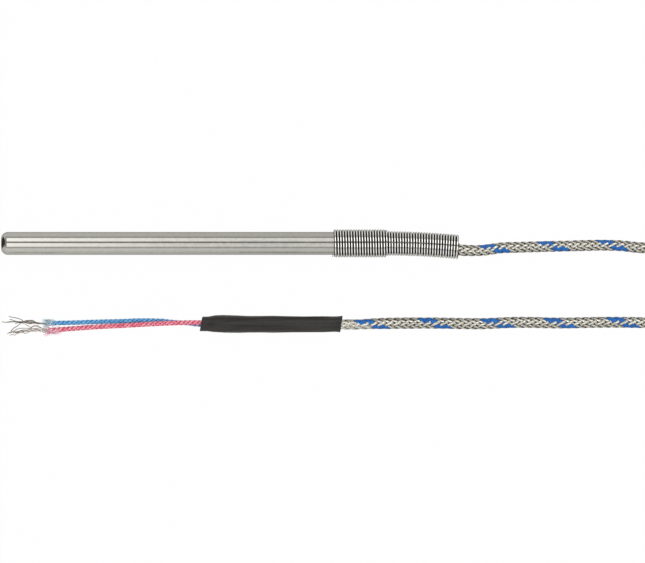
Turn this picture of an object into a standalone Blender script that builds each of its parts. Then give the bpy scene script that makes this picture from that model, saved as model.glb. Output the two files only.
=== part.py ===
# Temperature probe with a straight 6 mm sheath, an anti-kink spring and a wire-braided lead.
# Metres, +Z up. The origin is the centre of the sheath's closed tip, and the sheath lies along +X.
# The probe lies on a flat surface, on its spring and on the hank of spare lead.
import math

import bmesh
import bpy
from mathutils import Vector

# Sheath: a tube closed and rounded at its tip
SHEATH_LENGTH = 0.100
SHEATH_DIAMETER = 0.006
SHEATH_WALL = 0.0005
TIP_WALL = 0.001
TIP_CORNER_RADIUS = 0.0018
SEAT_GAP = 0.0003
SHEATH_SIDES = 32

# Thermoelement inside the sheath
BEAD_DIAMETER = 0.0016
LEG_DIAMETER = 0.0008
LEG_SPACING = 0.0019
LEG_START_SPACING = 0.0010
INSULATOR_COUNT = 3
INSULATOR_START = 0.006
INSULATOR_BORE_CLEARANCE = 0.0003
CABLE_INSERTION = 0.010

# Anti-kink spring: it grips the sheath's rear end and runs on over the lead
SPRING_WIRE = 0.0006
SPRING_PITCH = 0.000706
SPRING_GRIP_LENGTH = 0.0132
SPRING_TURNS = 46.3
SPRING_FREE_BORE = 0.0052
SPRING_CLEARANCE = 0.00007
SPRING_NECK_TURNS = 1.3
SPRING_BEND_RADIUS = 0.200
SPRING_START_ANGLE = math.radians(180.0)
GRIP_POINTS_PER_TURN = 18
FREE_POINTS_PER_TURN = 12

# Lead: two insulated conductors in one wire braid
CABLE_DIAMETER = 0.0029
CABLE_POINT_SPACING = 0.0065

# Hank of spare lead, in line with the probe
HANK_START = 0.192
HANK_RUN = 0.051
HANK_CENTRE_Y = -0.011
HANK_INNER_BEND = 0.009
HANK_TURN_SPACING = 0.003
HANK_TURNS_WIDE = 3
HANK_LAYERS = 2
HANK_EDGE_ROUND = 0.0008
HANK_ARC_POINTS = 12

# Ties round the hank's two runs
TIE_WIDTH = 0.003
TIE_THICKNESS = 0.0006
TIE_CORNER_ARC = 4
TIE_TWIST_LENGTH = 0.006
TIE_TWIST_DIAMETER = 0.0016

# Shrink sleeve over the place where the braid ends
SLEEVE_START = 0.0522
SLEEVE_LENGTH = 0.0367
SLEEVE_Y = -0.02105
SLEEVE_WALL = 0.0003
SLEEVE_MOUTH_RADIUS = 0.0019
SLEEVE_BULGE_RADIUS = 0.0024
SLEEVE_CABLE_CLEARANCE = 0.0003
SLEEVE_FLARE = 0.00015
SLEEVE_SIDES = 24
BREAKOUT_DEPTH = 0.0098

# Insulated leads and their bare strands
BLUE_LEAD_DIAMETER = 0.0012
BLUE_LEAD_END = 0.0120
RED_LEAD_DIAMETER = 0.0013
RED_LEAD_END = 0.0123
LEAD_POINT_SPACING = 0.003
STRAND_DIAMETER = 0.0002
STRAND_SPACING = 0.00024
STRAND_POINT_SPACING = 0.0008

# Worked out from the sizes above
SHEATH_RADIUS = SHEATH_DIAMETER / 2
BORE_RADIUS = SHEATH_RADIUS - SHEATH_WALL
WIRE_RADIUS = SPRING_WIRE / 2
GRIP_COIL_RADIUS = SHEATH_RADIUS + SPRING_CLEARANCE + WIRE_RADIUS
FREE_COIL_RADIUS = SPRING_FREE_BORE / 2 + WIRE_RADIUS
SPRING_START = SHEATH_LENGTH - SPRING_GRIP_LENGTH
CABLE_START = SHEATH_LENGTH - CABLE_INSERTION
CABLE_RADIUS = CABLE_DIAMETER / 2
AXIS_HEIGHT = GRIP_COIL_RADIUS + WIRE_RADIUS
FLOOR_Z = -AXIS_HEIGHT
HANK_OUTER_BEND = HANK_INNER_BEND + (HANK_TURNS_WIDE - 1) * HANK_TURN_SPACING
HANK_OUTER_RADIUS = HANK_OUTER_BEND + HANK_TURN_SPACING / 2
HANK_INNER_RADIUS = HANK_INNER_BEND - HANK_TURN_SPACING / 2
HANK_BOTTOM = TIE_THICKNESS + SEAT_GAP
HANK_HEIGHT = HANK_LAYERS * CABLE_DIAMETER
HANK_MIDDLE_X = HANK_START + HANK_RUN / 2
SLEEVE_AXIS_HEIGHT = SLEEVE_BULGE_RADIUS
SLEEVE_END = SLEEVE_START + SLEEVE_LENGTH
BRAID_CUT = SLEEVE_START + BREAKOUT_DEPTH
LEAD_START = BRAID_CUT - SEAT_GAP

# Routes: x, y and the height of the centre line over the surface that the probe lies on
PROBE_RUN = [
    (CABLE_START, 0.0, AXIS_HEIGHT),
    (SHEATH_LENGTH - 0.0050, 0.0, AXIS_HEIGHT),
    (SHEATH_LENGTH, 0.0, AXIS_HEIGHT),
    (SHEATH_LENGTH + 0.0050, -0.00012, AXIS_HEIGHT - 0.00003),
    (SHEATH_LENGTH + 0.0100, -0.00045, AXIS_HEIGHT - 0.00010),
    (SHEATH_LENGTH + 0.0150, -0.00098, AXIS_HEIGHT - 0.00020),
    (SHEATH_LENGTH + 0.0204, -0.00178, AXIS_HEIGHT - 0.00035),
    (0.1251, -0.00185, 0.0026),
    (0.1280, -0.00152, 0.0020),
    (0.1310, -0.00115, 0.0016),
    (0.1355, -0.00100, CABLE_RADIUS),
    (0.1407, -0.00086, CABLE_RADIUS),
    (0.1459, -0.00073, CABLE_RADIUS),
    (0.1512, -0.00060, CABLE_RADIUS),
    (0.1564, -0.00047, CABLE_RADIUS),
    (0.1616, -0.00060, CABLE_RADIUS),
    (0.1668, -0.00110, CABLE_RADIUS),
    (0.1710, -0.00125, 0.0016),
    (0.1745, -0.00050, 0.0019),
    (0.1780, 0.00072, 0.0022),
]
TAIL_RUN = [
    (0.1780, -0.02272, 0.0034),
    (0.1745, -0.02160, 0.0026),
    (0.1710, -0.02095, 0.0020),
    (0.1680, -0.02072, 0.0016),
    (0.1620, -0.02060, CABLE_RADIUS),
    (0.1560, -0.02062, CABLE_RADIUS),
    (0.1460, -0.02080, CABLE_RADIUS),
    (0.1350, -0.02062, CABLE_RADIUS),
    (0.1250, -0.02098, CABLE_RADIUS),
    (0.1150, -0.02082, CABLE_RADIUS),
    (0.1060, -0.02082, 0.0015),
    (0.0980, -0.02095, 0.0018),
    (SLEEVE_END + 0.0041, -0.02116, 0.0022),
    (SLEEVE_END - 0.0009, SLEEVE_Y - 0.0001, SLEEVE_AXIS_HEIGHT),
    (0.0800, SLEEVE_Y, SLEEVE_AXIS_HEIGHT),
    (0.0700, SLEEVE_Y, SLEEVE_AXIS_HEIGHT),
    (BRAID_CUT, SLEEVE_Y, SLEEVE_AXIS_HEIGHT),
]
BLUE_ROUTE = [
    (LEAD_START, -0.02140, 0.00185),
    (0.0570, -0.02142, 0.00182),
    (SLEEVE_START, -0.02148, 0.00175),
    (0.0493, -0.02142, 0.00130),
    (0.0467, -0.02110, 0.00075),
    (0.0441, -0.02060, 0.00060),
    (0.0415, -0.02022, 0.00060),
    (0.0363, -0.02015, 0.00060),
    (0.0311, -0.02034, 0.00060),
    (0.0258, -0.02045, 0.00060),
    (0.0206, -0.02065, 0.00060),
    (0.0154, -0.02078, 0.00060),
    (BLUE_LEAD_END, -0.02085, 0.00062),
]
RED_ROUTE = [
    (LEAD_START, -0.02078, 0.00310),
    (0.0570, -0.02080, 0.00312),
    (SLEEVE_START, -0.02088, 0.00305),
    (0.0493, -0.02086, 0.00265),
    (0.0467, -0.02086, 0.00232),
    (0.0441, -0.02090, 0.00212),
    (0.0415, -0.02094, 0.00196),
    (0.0389, -0.02108, 0.00178),
    (0.0363, -0.02122, 0.00160),
    (0.0311, -0.02152, 0.00135),
    (0.0258, -0.02176, 0.00105),
    (0.0206, -0.02212, 0.00070),
    (0.0154, -0.02252, 0.00065),
    (RED_LEAD_END, -0.02278, 0.00066),
]
BLUE_BUNDLE = [
    (BLUE_LEAD_END - SEAT_GAP, -0.02086, 0.00062),
    (0.01060, -0.02100, 0.00055),
    (0.00945, -0.02098, 0.00045),
    (0.00860, -0.02074, 0.00040),
    (0.00730, -0.02058, 0.00038),
    (0.00560, -0.02054, 0.00037),
    (0.00440, -0.02060, 0.00037),
    (0.00310, -0.02056, 0.00036),
    (0.00180, -0.02063, 0.00036),
    (0.00010, -0.02060, 0.00036),
]
RED_BUNDLE = [
    (RED_LEAD_END - SEAT_GAP, -0.02280, 0.00066),
    (0.01110, -0.02286, 0.00058),
    (0.01010, -0.02290, 0.00046),
    (0.00900, -0.02278, 0.00038),
    (0.00780, -0.02286, 0.00037),
    (0.00620, -0.02308, 0.00037),
    (0.00500, -0.02320, 0.00036),
    (0.00380, -0.02330, 0.00036),
    (0.00280, -0.02336, 0.00036),
    (0.00200, -0.02345, 0.00036),
]

# Each strand: its place in the bundle, where it leaves it, and the points of its own free end
CENTRE = (0.0, 0.0)
LEFT = (1.0, 0.0)
RIGHT = (-1.0, 0.0)
TOP_LEFT = (0.5, 0.87)
TOP_RIGHT = (-0.5, 0.87)
LOW_LEFT = (0.5, -0.87)
LOW_RIGHT = (-0.5, -0.87)
BLUE_STRANDS = [
    (
        LEFT,
        0.0056,
        [
            (0.00490, -0.01996, 0.00034),
            (0.00407, -0.01974, 0.00026),
            (0.00285, -0.01948, 0.00020),
            (0.00196, -0.01920, 0.00024),
        ],
    ),
    (TOP_LEFT, 0.0040, [(0.00313, -0.02020, 0.00062), (0.00227, -0.01996, 0.00052)]),
    (CENTRE, 0.0001, []),
    (
        RIGHT,
        0.0058,
        [
            (0.00490, -0.02126, 0.00024),
            (0.00428, -0.02175, 0.00018),
            (0.00345, -0.02220, 0.00014),
            (0.00285, -0.02258, 0.00014),
            (0.00250, -0.02288, 0.00014),
        ],
    ),
    (LOW_RIGHT, 0.0010, []),
    (LOW_LEFT, 0.0019, []),
    (TOP_RIGHT, 0.0043, [(0.00392, -0.02088, 0.00056), (0.00366, -0.02112, 0.00050)]),
]
RED_STRANDS = [
    (
        TOP_LEFT,
        0.0114,
        [
            (0.01026, -0.02212, 0.00080),
            (0.00935, -0.02156, 0.00086),
            (0.00851, -0.02162, 0.00086),
            (0.00789, -0.02209, 0.00084),
            (0.00718, -0.02252, 0.00082),
            (0.00620, -0.02276, 0.00082),
        ],
    ),
    (
        TOP_RIGHT,
        0.0079,
        [
            (0.00620, -0.02302, 0.00068),
            (0.00500, -0.02284, 0.00048),
            (0.00345, -0.02272, 0.00022),
            (0.00300, -0.02280, 0.00016),
        ],
    ),
    (CENTRE, 0.0029, [(0.00211, -0.02340, 0.00030), (0.00159, -0.02366, 0.00018)]),
    (
        RIGHT,
        0.0060,
        [
            (0.00500, -0.02358, 0.00030),
            (0.00366, -0.02392, 0.00018),
            (0.00253, -0.02394, 0.00014),
            (0.00196, -0.02420, 0.00014),
        ],
    ),
    (LOW_RIGHT, 0.0040, [(0.00300, -0.02362, 0.00013), (0.00230, -0.02368, 0.00013)]),
    (LOW_LEFT, 0.0024, []),
    (
        LEFT,
        0.0112,
        [
            (0.01030, -0.02238, 0.00056),
            (0.00950, -0.02184, 0.00054),
            (0.00860, -0.02174, 0.00054),
            (0.00790, -0.02190, 0.00054),
            (0.00736, -0.02190, 0.00054),
            (0.00670, -0.02160, 0.00056),
            (0.00593, -0.02124, 0.00060),
            (0.00490, -0.02104, 0.00078),
            (0.00430, -0.02092, 0.00088),
        ],
    ),
]

# Colours: red, green, blue, then roughness and metallic
STEEL = ((0.62, 0.61, 0.58), 0.32, 1.0)
SPRING_STEEL = ((0.66, 0.65, 0.61), 0.28, 1.0)
BRAID = ((0.55, 0.54, 0.50), 0.38, 1.0)
IRON = ((0.40, 0.39, 0.38), 0.45, 1.0)
CONSTANTAN = ((0.52, 0.47, 0.41), 0.42, 1.0)
WELD = ((0.33, 0.31, 0.29), 0.55, 1.0)
CERAMIC = ((0.86, 0.84, 0.78), 0.60, 0.0)
CEMENT = ((0.74, 0.71, 0.64), 0.85, 0.0)
SLEEVE_BLACK = ((0.045, 0.040, 0.038), 0.55, 0.0)
TIE_BLACK = ((0.03, 0.03, 0.03), 0.50, 0.0)
BLUE_FIBRE = ((0.04, 0.24, 0.58), 0.55, 0.0)
RED_FIBRE = ((0.78, 0.05, 0.14), 0.55, 0.0)


def clear_scene():
    for obj in list(bpy.data.objects):
        bpy.data.objects.remove(obj, do_unlink=True)


def new_collection(name):
    collection = bpy.data.collections.new(name)
    bpy.context.scene.collection.children.link(collection)
    return collection


def finish(obj, finish_values):
    """Gives a piece its own material, named for the piece."""
    colour, roughness, metallic = finish_values
    material = bpy.data.materials.new(obj.name + "_finish")
    material.use_nodes = True
    shader = material.node_tree.nodes["Principled BSDF"]
    shader.inputs["Base Color"].default_value = (*colour, 1.0)
    shader.inputs["Roughness"].default_value = roughness
    shader.inputs["Metallic"].default_value = metallic
    obj.data.materials.append(material)
    return obj


def add_mesh(name, mesh_builder, location=(0, 0, 0), rotation=(0, 0, 0), collection=None):
    mesh = bpy.data.meshes.new(name)
    work = bmesh.new()
    mesh_builder(work)
    work.to_mesh(mesh)
    work.free()
    obj = bpy.data.objects.new(name, mesh)
    obj.location = location
    obj.rotation_euler = rotation
    (collection or PARTS).objects.link(obj)
    return obj


def turned(name, profile, sides, location, finish_values, closed=False):
    """Turns a profile of (radius, x) points about the line along X through a place."""

    def build(work):
        verts = [work.verts.new((radius, 0.0, along)) for radius, along in profile]
        for first, second in zip(verts, verts[1:]):
            work.edges.new((first, second))
        if closed:
            work.edges.new((verts[-1], verts[0]))

    obj = add_mesh(name, build, location, (0.0, math.radians(90.0), 0.0))
    screw = obj.modifiers.new("Turn", "SCREW")
    screw.axis = "Z"
    screw.angle = math.tau
    screw.steps = sides
    screw.render_steps = sides
    screw.use_merge_vertices = True
    screw.merge_threshold = 0.00001
    screw.use_smooth_shade = True
    return finish(obj, finish_values)


def wire(name, points, diameter, finish_values, resolution=2):
    """A round wire along a line of points, with closed ends."""
    curve = bpy.data.curves.new(name, "CURVE")
    curve.dimensions = "3D"
    curve.bevel_depth = diameter / 2
    curve.bevel_resolution = resolution
    curve.use_fill_caps = True
    spline = curve.splines.new("POLY")
    spline.points.add(len(points) - 1)
    for point, place in zip(spline.points, points):
        point.co = (*place, 1.0)
    obj = bpy.data.objects.new(name, curve)
    PARTS.objects.link(obj)
    return finish(obj, finish_values)


def smooth_line(route, spacing):
    """Points read every spacing or so from a smooth curve through a route's own points."""
    points = [Vector(place) for place in route]
    first = points[0] * 2 - points[1]
    last = points[-1] * 2 - points[-2]
    guides = [first, *points, last]
    line = []
    for index in range(1, len(guides) - 2):
        before, start, end, after = guides[index - 1 : index + 3]
        steps = max(1, round((end - start).length / spacing))
        for step in range(steps):
            t = step / steps
            line.append(
                0.5
                * (
                    start * 2
                    + (end - before) * t
                    + (before * 2 - start * 5 + end * 4 - after) * t * t
                    + (start * 3 - before - end * 3 + after) * t * t * t
                )
            )
    line.append(points[-1])
    return line


def lay_down(line):
    """Turns heights over the surface into heights in the part's frame."""
    return [(place[0], place[1], place[2] + FLOOR_Z) for place in line]


def arc(centre_x, centre_y, radius, start, end, count):
    """Points on an arc in a flat outline, both ends included."""
    angles = [start + (end - start) * step / count for step in range(count + 1)]
    return [
        (centre_x + radius * math.cos(a), centre_y + radius * math.sin(a)) for a in angles
    ]


def flat_outline(name, outlines, thickness, location, rotation, finish_values):
    """A plate of some thickness from closed outlines; the second and later ones are holes."""
    curve = bpy.data.curves.new(name, "CURVE")
    curve.dimensions = "2D"
    curve.fill_mode = "BOTH"
    curve.extrude = thickness / 2
    for outline in outlines:
        spline = curve.splines.new("POLY")
        spline.points.add(len(outline) - 1)
        spline.use_cyclic_u = True
        for point, place in zip(spline.points, outline):
            point.co = (place[0], place[1], 0.0, 1.0)
    obj = bpy.data.objects.new(name, curve)
    obj.location = location
    obj.rotation_euler = rotation
    PARTS.objects.link(obj)
    return finish(obj, finish_values)


def make_mesh(obj):
    """Swaps a curve object for a mesh object of the same name, place and finish."""
    bpy.context.view_layer.update()
    graph = bpy.context.evaluated_depsgraph_get()
    mesh = bpy.data.meshes.new_from_object(obj.evaluated_get(graph))
    work = bmesh.new()
    work.from_mesh(mesh)
    bmesh.ops.remove_doubles(work, verts=work.verts, dist=0.00001)
    work.to_mesh(mesh)
    work.free()
    name = obj.name
    place = obj.matrix_world.copy()
    bpy.data.objects.remove(obj, do_unlink=True)
    solid = bpy.data.objects.new(name, mesh)
    solid.matrix_world = place
    PARTS.objects.link(solid)
    return solid


def boolean(target, cutter, operation):
    cutter.hide_render = True
    cutter.display_type = "WIRE"
    change = target.modifiers.new(operation.title(), "BOOLEAN")
    change.operation = operation
    change.solver = "EXACT"
    change.object = cutter


def rod(work, radius, depth, sides):
    bmesh.ops.create_cone(
        work,
        cap_ends=True,
        segments=sides,
        radius1=radius,
        radius2=radius,
        depth=depth,
    )


def sheath_tube():
    flat_radius = SHEATH_RADIUS - TIP_CORNER_RADIUS
    corner = arc(flat_radius, TIP_CORNER_RADIUS, TIP_CORNER_RADIUS, 0.0, -math.pi / 2, 6)
    profile = [
        (0.0, TIP_WALL),
        (BORE_RADIUS, TIP_WALL),
        (BORE_RADIUS, SHEATH_LENGTH),
        (SHEATH_RADIUS, SHEATH_LENGTH),
        *corner,
        (0.0, 0.0),
    ]
    return turned("sheath_tube", profile, SHEATH_SIDES, (0, 0, 0), STEEL)


def bead_centre():
    return TIP_WALL + SEAT_GAP + BEAD_DIAMETER / 2


def junction_bead():
    def build(work):
        bmesh.ops.create_uvsphere(
            work, u_segments=16, v_segments=10, radius=BEAD_DIAMETER / 2
        )

    obj = add_mesh("junction_bead", build, (bead_centre(), 0.0, 0.0))
    return finish(obj, WELD)


def thermoelement_leg(name, side, finish_values):
    """One of the two thermocouple wires, from the bead back to the cable."""
    start = bead_centre() + BEAD_DIAMETER / 2 + SEAT_GAP
    narrow = side * LEG_START_SPACING / 2
    wide = side * LEG_SPACING / 2
    bend_end = INSULATOR_START - SEAT_GAP
    points = smooth_line(
        [
            (start, narrow, 0.0),
            (start * 0.7 + bend_end * 0.3, narrow * 0.8 + wide * 0.2, 0.0),
            (start * 0.3 + bend_end * 0.7, narrow * 0.2 + wide * 0.8, 0.0),
            (bend_end, wide, 0.0),
        ],
        LEG_DIAMETER / 2,
    )
    points.append((CABLE_START - SEAT_GAP, wide, 0.0))
    return wire(name, points, LEG_DIAMETER, finish_values)


def insulators():
    """Twin-bore ceramic beads in a row, threaded on both wires."""
    row_length = CABLE_START - 4 * SEAT_GAP - INSULATOR_START
    length = (row_length - (INSULATOR_COUNT - 1) * SEAT_GAP) / INSULATOR_COUNT
    radius = BORE_RADIUS - SEAT_GAP
    bore = LEG_DIAMETER / 2 + INSULATOR_BORE_CLEARANCE
    turn = (0.0, math.radians(90.0), 0.0)
    for index in range(INSULATOR_COUNT):
        middle = INSULATOR_START + index * (length + SEAT_GAP) + length / 2
        bead = add_mesh(
            f"insulator_bead_{index + 1}",
            lambda work: rod(work, radius, length, 20),
            (middle, 0.0, 0.0),
            turn,
        )
        finish(bead, CERAMIC)
        for side in (1, -1):
            drill = add_mesh(
                f"drill_{index + 1}_{'left' if side > 0 else 'right'}",
                lambda work: rod(work, bore, length * 1.2, 12),
                (middle, side * LEG_SPACING / 2, 0.0),
                turn,
                CUTTERS,
            )
            boolean(bead, drill, "DIFFERENCE")


def cement_plug():
    """Potting that holds the cable in the sheath's rear end."""
    outer = BORE_RADIUS - SEAT_GAP
    inner = CABLE_RADIUS + SEAT_GAP
    front = CABLE_START - 3 * SEAT_GAP
    back = SHEATH_LENGTH - SEAT_GAP
    profile = [(inner, front), (inner, back), (outer, back), (outer, front)]
    return turned("cement_plug", profile, 20, (0, 0, 0), CEMENT, closed=True)


def coil_radius(along):
    """The spring's radius falls from its grip on the sheath to its free part."""
    neck = SPRING_NECK_TURNS * SPRING_PITCH
    share = (along - SPRING_GRIP_LENGTH - WIRE_RADIUS) / neck
    share = min(1.0, max(0.0, share))
    ease = share * share * (3 - 2 * share)
    return GRIP_COIL_RADIUS + (FREE_COIL_RADIUS - GRIP_COIL_RADIUS) * ease


def spring_axis(along):
    """A place on the spring's bent axis, and the direction across it in the flat."""
    free = along - SPRING_GRIP_LENGTH
    if free <= 0:
        return Vector((SPRING_START + along, 0.0, 0.0)), Vector((0.0, 1.0, 0.0))
    turn = free / SPRING_BEND_RADIUS
    x = SHEATH_LENGTH + SPRING_BEND_RADIUS * math.sin(turn)
    y = -SPRING_BEND_RADIUS * (1 - math.cos(turn))
    return Vector((x, y, 0.0)), Vector((math.sin(turn), math.cos(turn), 0.0))


def kink_spring():
    grip_turns = (SPRING_GRIP_LENGTH + SPRING_PITCH) / SPRING_PITCH
    turns = 0.0
    points = []
    while turns < SPRING_TURNS:
        points.append(spring_point(turns))
        per_turn = GRIP_POINTS_PER_TURN if turns < grip_turns else FREE_POINTS_PER_TURN
        turns += 1.0 / per_turn
    points.append(spring_point(SPRING_TURNS))
    return wire("kink_spring", points, SPRING_WIRE, SPRING_STEEL, resolution=1)


def spring_point(turns):
    along = turns * SPRING_PITCH
    centre, across = spring_axis(along)
    angle = SPRING_START_ANGLE + math.tau * turns
    radius = coil_radius(along)
    return centre + radius * (
        across * math.cos(angle) + Vector((0.0, 0.0, 1.0)) * math.sin(angle)
    )


def cable_runs():
    for name, route in (("cable_probe_run", PROBE_RUN), ("cable_tail_run", TAIL_RUN)):
        line = smooth_line(route, CABLE_POINT_SPACING)
        wire(name, lay_down(line), CABLE_DIAMETER, BRAID)


def race_track(radius):
    """A closed outline with two straight runs and round ends."""
    half = HANK_RUN / 2
    quarter = math.pi / 2
    right = arc(half, 0.0, radius, -quarter, quarter, HANK_ARC_POINTS)
    left = arc(-half, 0.0, radius, quarter, 3 * quarter, HANK_ARC_POINTS)
    return right + left


def cable_hank():
    middle = FLOOR_Z + HANK_BOTTOM + HANK_HEIGHT / 2
    hank = flat_outline(
        "cable_hank",
        [race_track(HANK_OUTER_RADIUS), race_track(HANK_INNER_RADIUS)],
        HANK_HEIGHT,
        (HANK_MIDDLE_X, HANK_CENTRE_Y, middle),
        (0, 0, 0),
        BRAID,
    )
    weld = hank.modifiers.new("Weld", "WELD")
    weld.merge_threshold = 0.00001
    rounding = hank.modifiers.new("Round", "BEVEL")
    rounding.width = HANK_EDGE_ROUND
    rounding.segments = 2
    rounding.limit_method = "ANGLE"
    rounding.angle_limit = math.radians(50.0)


def rounded_box(half_width, half_height, corner):
    quarter = math.pi / 2
    outline = []
    for index, (side, level) in enumerate(((1, 1), (-1, 1), (-1, -1), (1, -1))):
        centre_x = side * (half_width - corner)
        centre_y = level * (half_height - corner)
        start = index * quarter
        outline += arc(centre_x, centre_y, corner, start, start + quarter, TIE_CORNER_ARC)
    return outline


def hank_ties():
    """A twist tie round each of the hank's two runs, with its twisted end on top."""
    run_width = HANK_TURNS_WIDE * HANK_TURN_SPACING
    inner_width = run_width / 2 + SEAT_GAP
    inner_height = HANK_HEIGHT / 2 + SEAT_GAP
    inner_corner = CABLE_RADIUS
    middle = FLOOR_Z + TIE_THICKNESS + inner_height
    run_offset = (HANK_INNER_BEND + HANK_OUTER_BEND) / 2
    for index, side in enumerate((1, -1)):
        centre_y = HANK_CENTRE_Y + side * run_offset
        band = flat_outline(
            f"hank_tie_{index + 1}",
            [
                rounded_box(
                    inner_width + TIE_THICKNESS,
                    inner_height + TIE_THICKNESS,
                    inner_corner + TIE_THICKNESS,
                ),
                rounded_box(inner_width, inner_height, inner_corner),
            ],
            TIE_WIDTH,
            (HANK_MIDDLE_X, centre_y, middle),
            (math.radians(90.0), 0.0, math.radians(90.0)),
            TIE_BLACK,
        )
        band = finish(make_mesh(band), TIE_BLACK)
        top = middle + inner_height + TIE_THICKNESS / 2
        twist = add_mesh(
            f"twist_{index + 1}",
            lambda work: rod(work, TIE_TWIST_DIAMETER / 2, TIE_TWIST_LENGTH, 10),
            (HANK_MIDDLE_X, centre_y, top + TIE_TWIST_DIAMETER / 2),
            (math.radians(90.0), 0.0, 0.0),
            CUTTERS,
        )
        boolean(band, twist, "UNION")


def shrink_sleeve():
    """A shrunk tube: widest over the bundle's breakout, narrow at both mouths."""
    cable_end_radius = CABLE_RADIUS + SLEEVE_CABLE_CLEARANCE + SLEEVE_WALL
    stations = [
        (0.0, SLEEVE_MOUTH_RADIUS),
        (0.08, SLEEVE_MOUTH_RADIUS * 0.5 + SLEEVE_BULGE_RADIUS * 0.5),
        (0.20, SLEEVE_BULGE_RADIUS),
        (0.38, SLEEVE_BULGE_RADIUS * 0.7 + cable_end_radius * 0.3),
        (0.62, SLEEVE_BULGE_RADIUS * 0.3 + cable_end_radius * 0.7),
        (0.96, cable_end_radius),
        (1.0, cable_end_radius + SLEEVE_FLARE),
    ]
    outer = [(radius, share * SLEEVE_LENGTH) for share, radius in stations]
    inner = [(radius - SLEEVE_WALL, along) for radius, along in outer]
    profile = inner + outer[::-1]
    place = (SLEEVE_START, SLEEVE_Y, FLOOR_Z + SLEEVE_AXIS_HEIGHT)
    return turned(
        "shrink_sleeve", profile, SLEEVE_SIDES, place, SLEEVE_BLACK, closed=True
    )


def insulated_leads():
    leads = (
        ("blue_lead", BLUE_ROUTE, BLUE_LEAD_DIAMETER, BLUE_FIBRE),
        ("red_lead", RED_ROUTE, RED_LEAD_DIAMETER, RED_FIBRE),
    )
    for name, route, diameter, finish_values in leads:
        line = smooth_line(route, LEAD_POINT_SPACING)
        wire(name, lay_down(line), diameter, finish_values)


def strand_route(bundle, place, leave_x, free_end):
    """A strand runs in its place in the bundle, then goes its own way."""
    in_bundle = [
        Vector(point) + Vector((0.0, place[0] * STRAND_SPACING, place[1] * STRAND_SPACING))
        for point in bundle
        if point[0] >= leave_x
    ]
    return in_bundle + [Vector(point) for point in free_end]


def bare_strands():
    groups = (
        ("blue_strand", BLUE_BUNDLE, BLUE_STRANDS, CONSTANTAN),
        ("red_strand", RED_BUNDLE, RED_STRANDS, IRON),
    )
    for name, bundle, strands, finish_values in groups:
        for index, (place, leave_x, free_end) in enumerate(strands):
            route = strand_route(bundle, place, leave_x, free_end)
            line = smooth_line(route, STRAND_POINT_SPACING)
            wire(
                f"{name}_{index + 1}",
                lay_down(line),
                STRAND_DIAMETER,
                finish_values,
                resolution=1,
            )


clear_scene()
PARTS = new_collection("thermocouple_probe")
CUTTERS = new_collection("cutters")
sheath_tube()
junction_bead()
thermoelement_leg("iron_leg", 1, IRON)
thermoelement_leg("constantan_leg", -1, CONSTANTAN)
insulators()
cement_plug()
kink_spring()
cable_runs()
cable_hank()
hank_ties()
shrink_sleeve()
insulated_leads()
bare_strands()
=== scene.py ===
# Looks of a temperature probe: its polished sheath, spring, wire-braided lead, sleeve and bare ends.
# Metres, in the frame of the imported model: the sheath lies along +X with its tip at the origin.
import math

import bmesh
import bpy
import numpy as np
from mathutils import Matrix, Vector


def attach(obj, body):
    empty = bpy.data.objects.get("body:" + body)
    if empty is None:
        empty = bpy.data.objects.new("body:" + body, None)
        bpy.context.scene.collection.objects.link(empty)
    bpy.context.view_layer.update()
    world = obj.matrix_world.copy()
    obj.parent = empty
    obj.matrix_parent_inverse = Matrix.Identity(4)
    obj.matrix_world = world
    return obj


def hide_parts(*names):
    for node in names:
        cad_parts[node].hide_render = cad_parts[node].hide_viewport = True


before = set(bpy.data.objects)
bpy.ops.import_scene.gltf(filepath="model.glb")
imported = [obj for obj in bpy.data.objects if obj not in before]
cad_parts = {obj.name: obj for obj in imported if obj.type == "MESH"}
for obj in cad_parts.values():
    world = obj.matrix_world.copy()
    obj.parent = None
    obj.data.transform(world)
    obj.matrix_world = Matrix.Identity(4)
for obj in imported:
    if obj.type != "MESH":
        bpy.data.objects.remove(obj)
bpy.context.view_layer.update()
scene = bpy.context.scene
scene.view_settings.view_transform = "Standard"

# Sizes of the built part
SHEATH_LENGTH = 0.100
SHEATH_RADIUS = 0.003
SHEATH_BORE_RADIUS = 0.0025
TIP_CORNER_RADIUS = 0.0018
TIP_WALL = 0.001
WIRE_RADIUS = 0.0003
SPRING_PITCH = 0.000706
SPRING_TURNS = 46.3
SPRING_GRIP_LENGTH = 0.0132
SPRING_START = SHEATH_LENGTH - SPRING_GRIP_LENGTH
GRIP_COIL_RADIUS = 0.00337
FREE_COIL_RADIUS = 0.0029
SPRING_NECK_TURNS = 1.3
SPRING_BEND_RADIUS = 0.200
SPRING_START_ANGLE = math.pi
AXIS_HEIGHT = GRIP_COIL_RADIUS + WIRE_RADIUS
FLOOR_Z = -AXIS_HEIGHT
BRAID_MEAN_RADIUS = 0.00125
CABLE_DIAMETER = 0.0029
CABLE_RADIUS = CABLE_DIAMETER / 2
HANK_START = 0.192
HANK_RUN = 0.051
HANK_CENTRE_Y = -0.011
HANK_RADII = (0.015, 0.012, 0.009, 0.009, 0.012, 0.015)
HANK_BOTTOM = 0.0009
SLEEVE_START = 0.0522
SLEEVE_LENGTH = 0.0367
SLEEVE_Y = -0.02105
SLEEVE_AXIS_HEIGHT = 0.0024
SLEEVE_WALL = 0.0003
BRAID_CUT = 0.0620
LEAD_START = 0.0617
BLUE_LEAD_DIAMETER = 0.0012
BLUE_LEAD_END = 0.0120
RED_LEAD_DIAMETER = 0.0013
RED_LEAD_END = 0.0123
STRAND_DIAMETER = 0.0002
LEAD_END_HEIGHT = 0.00062

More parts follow.
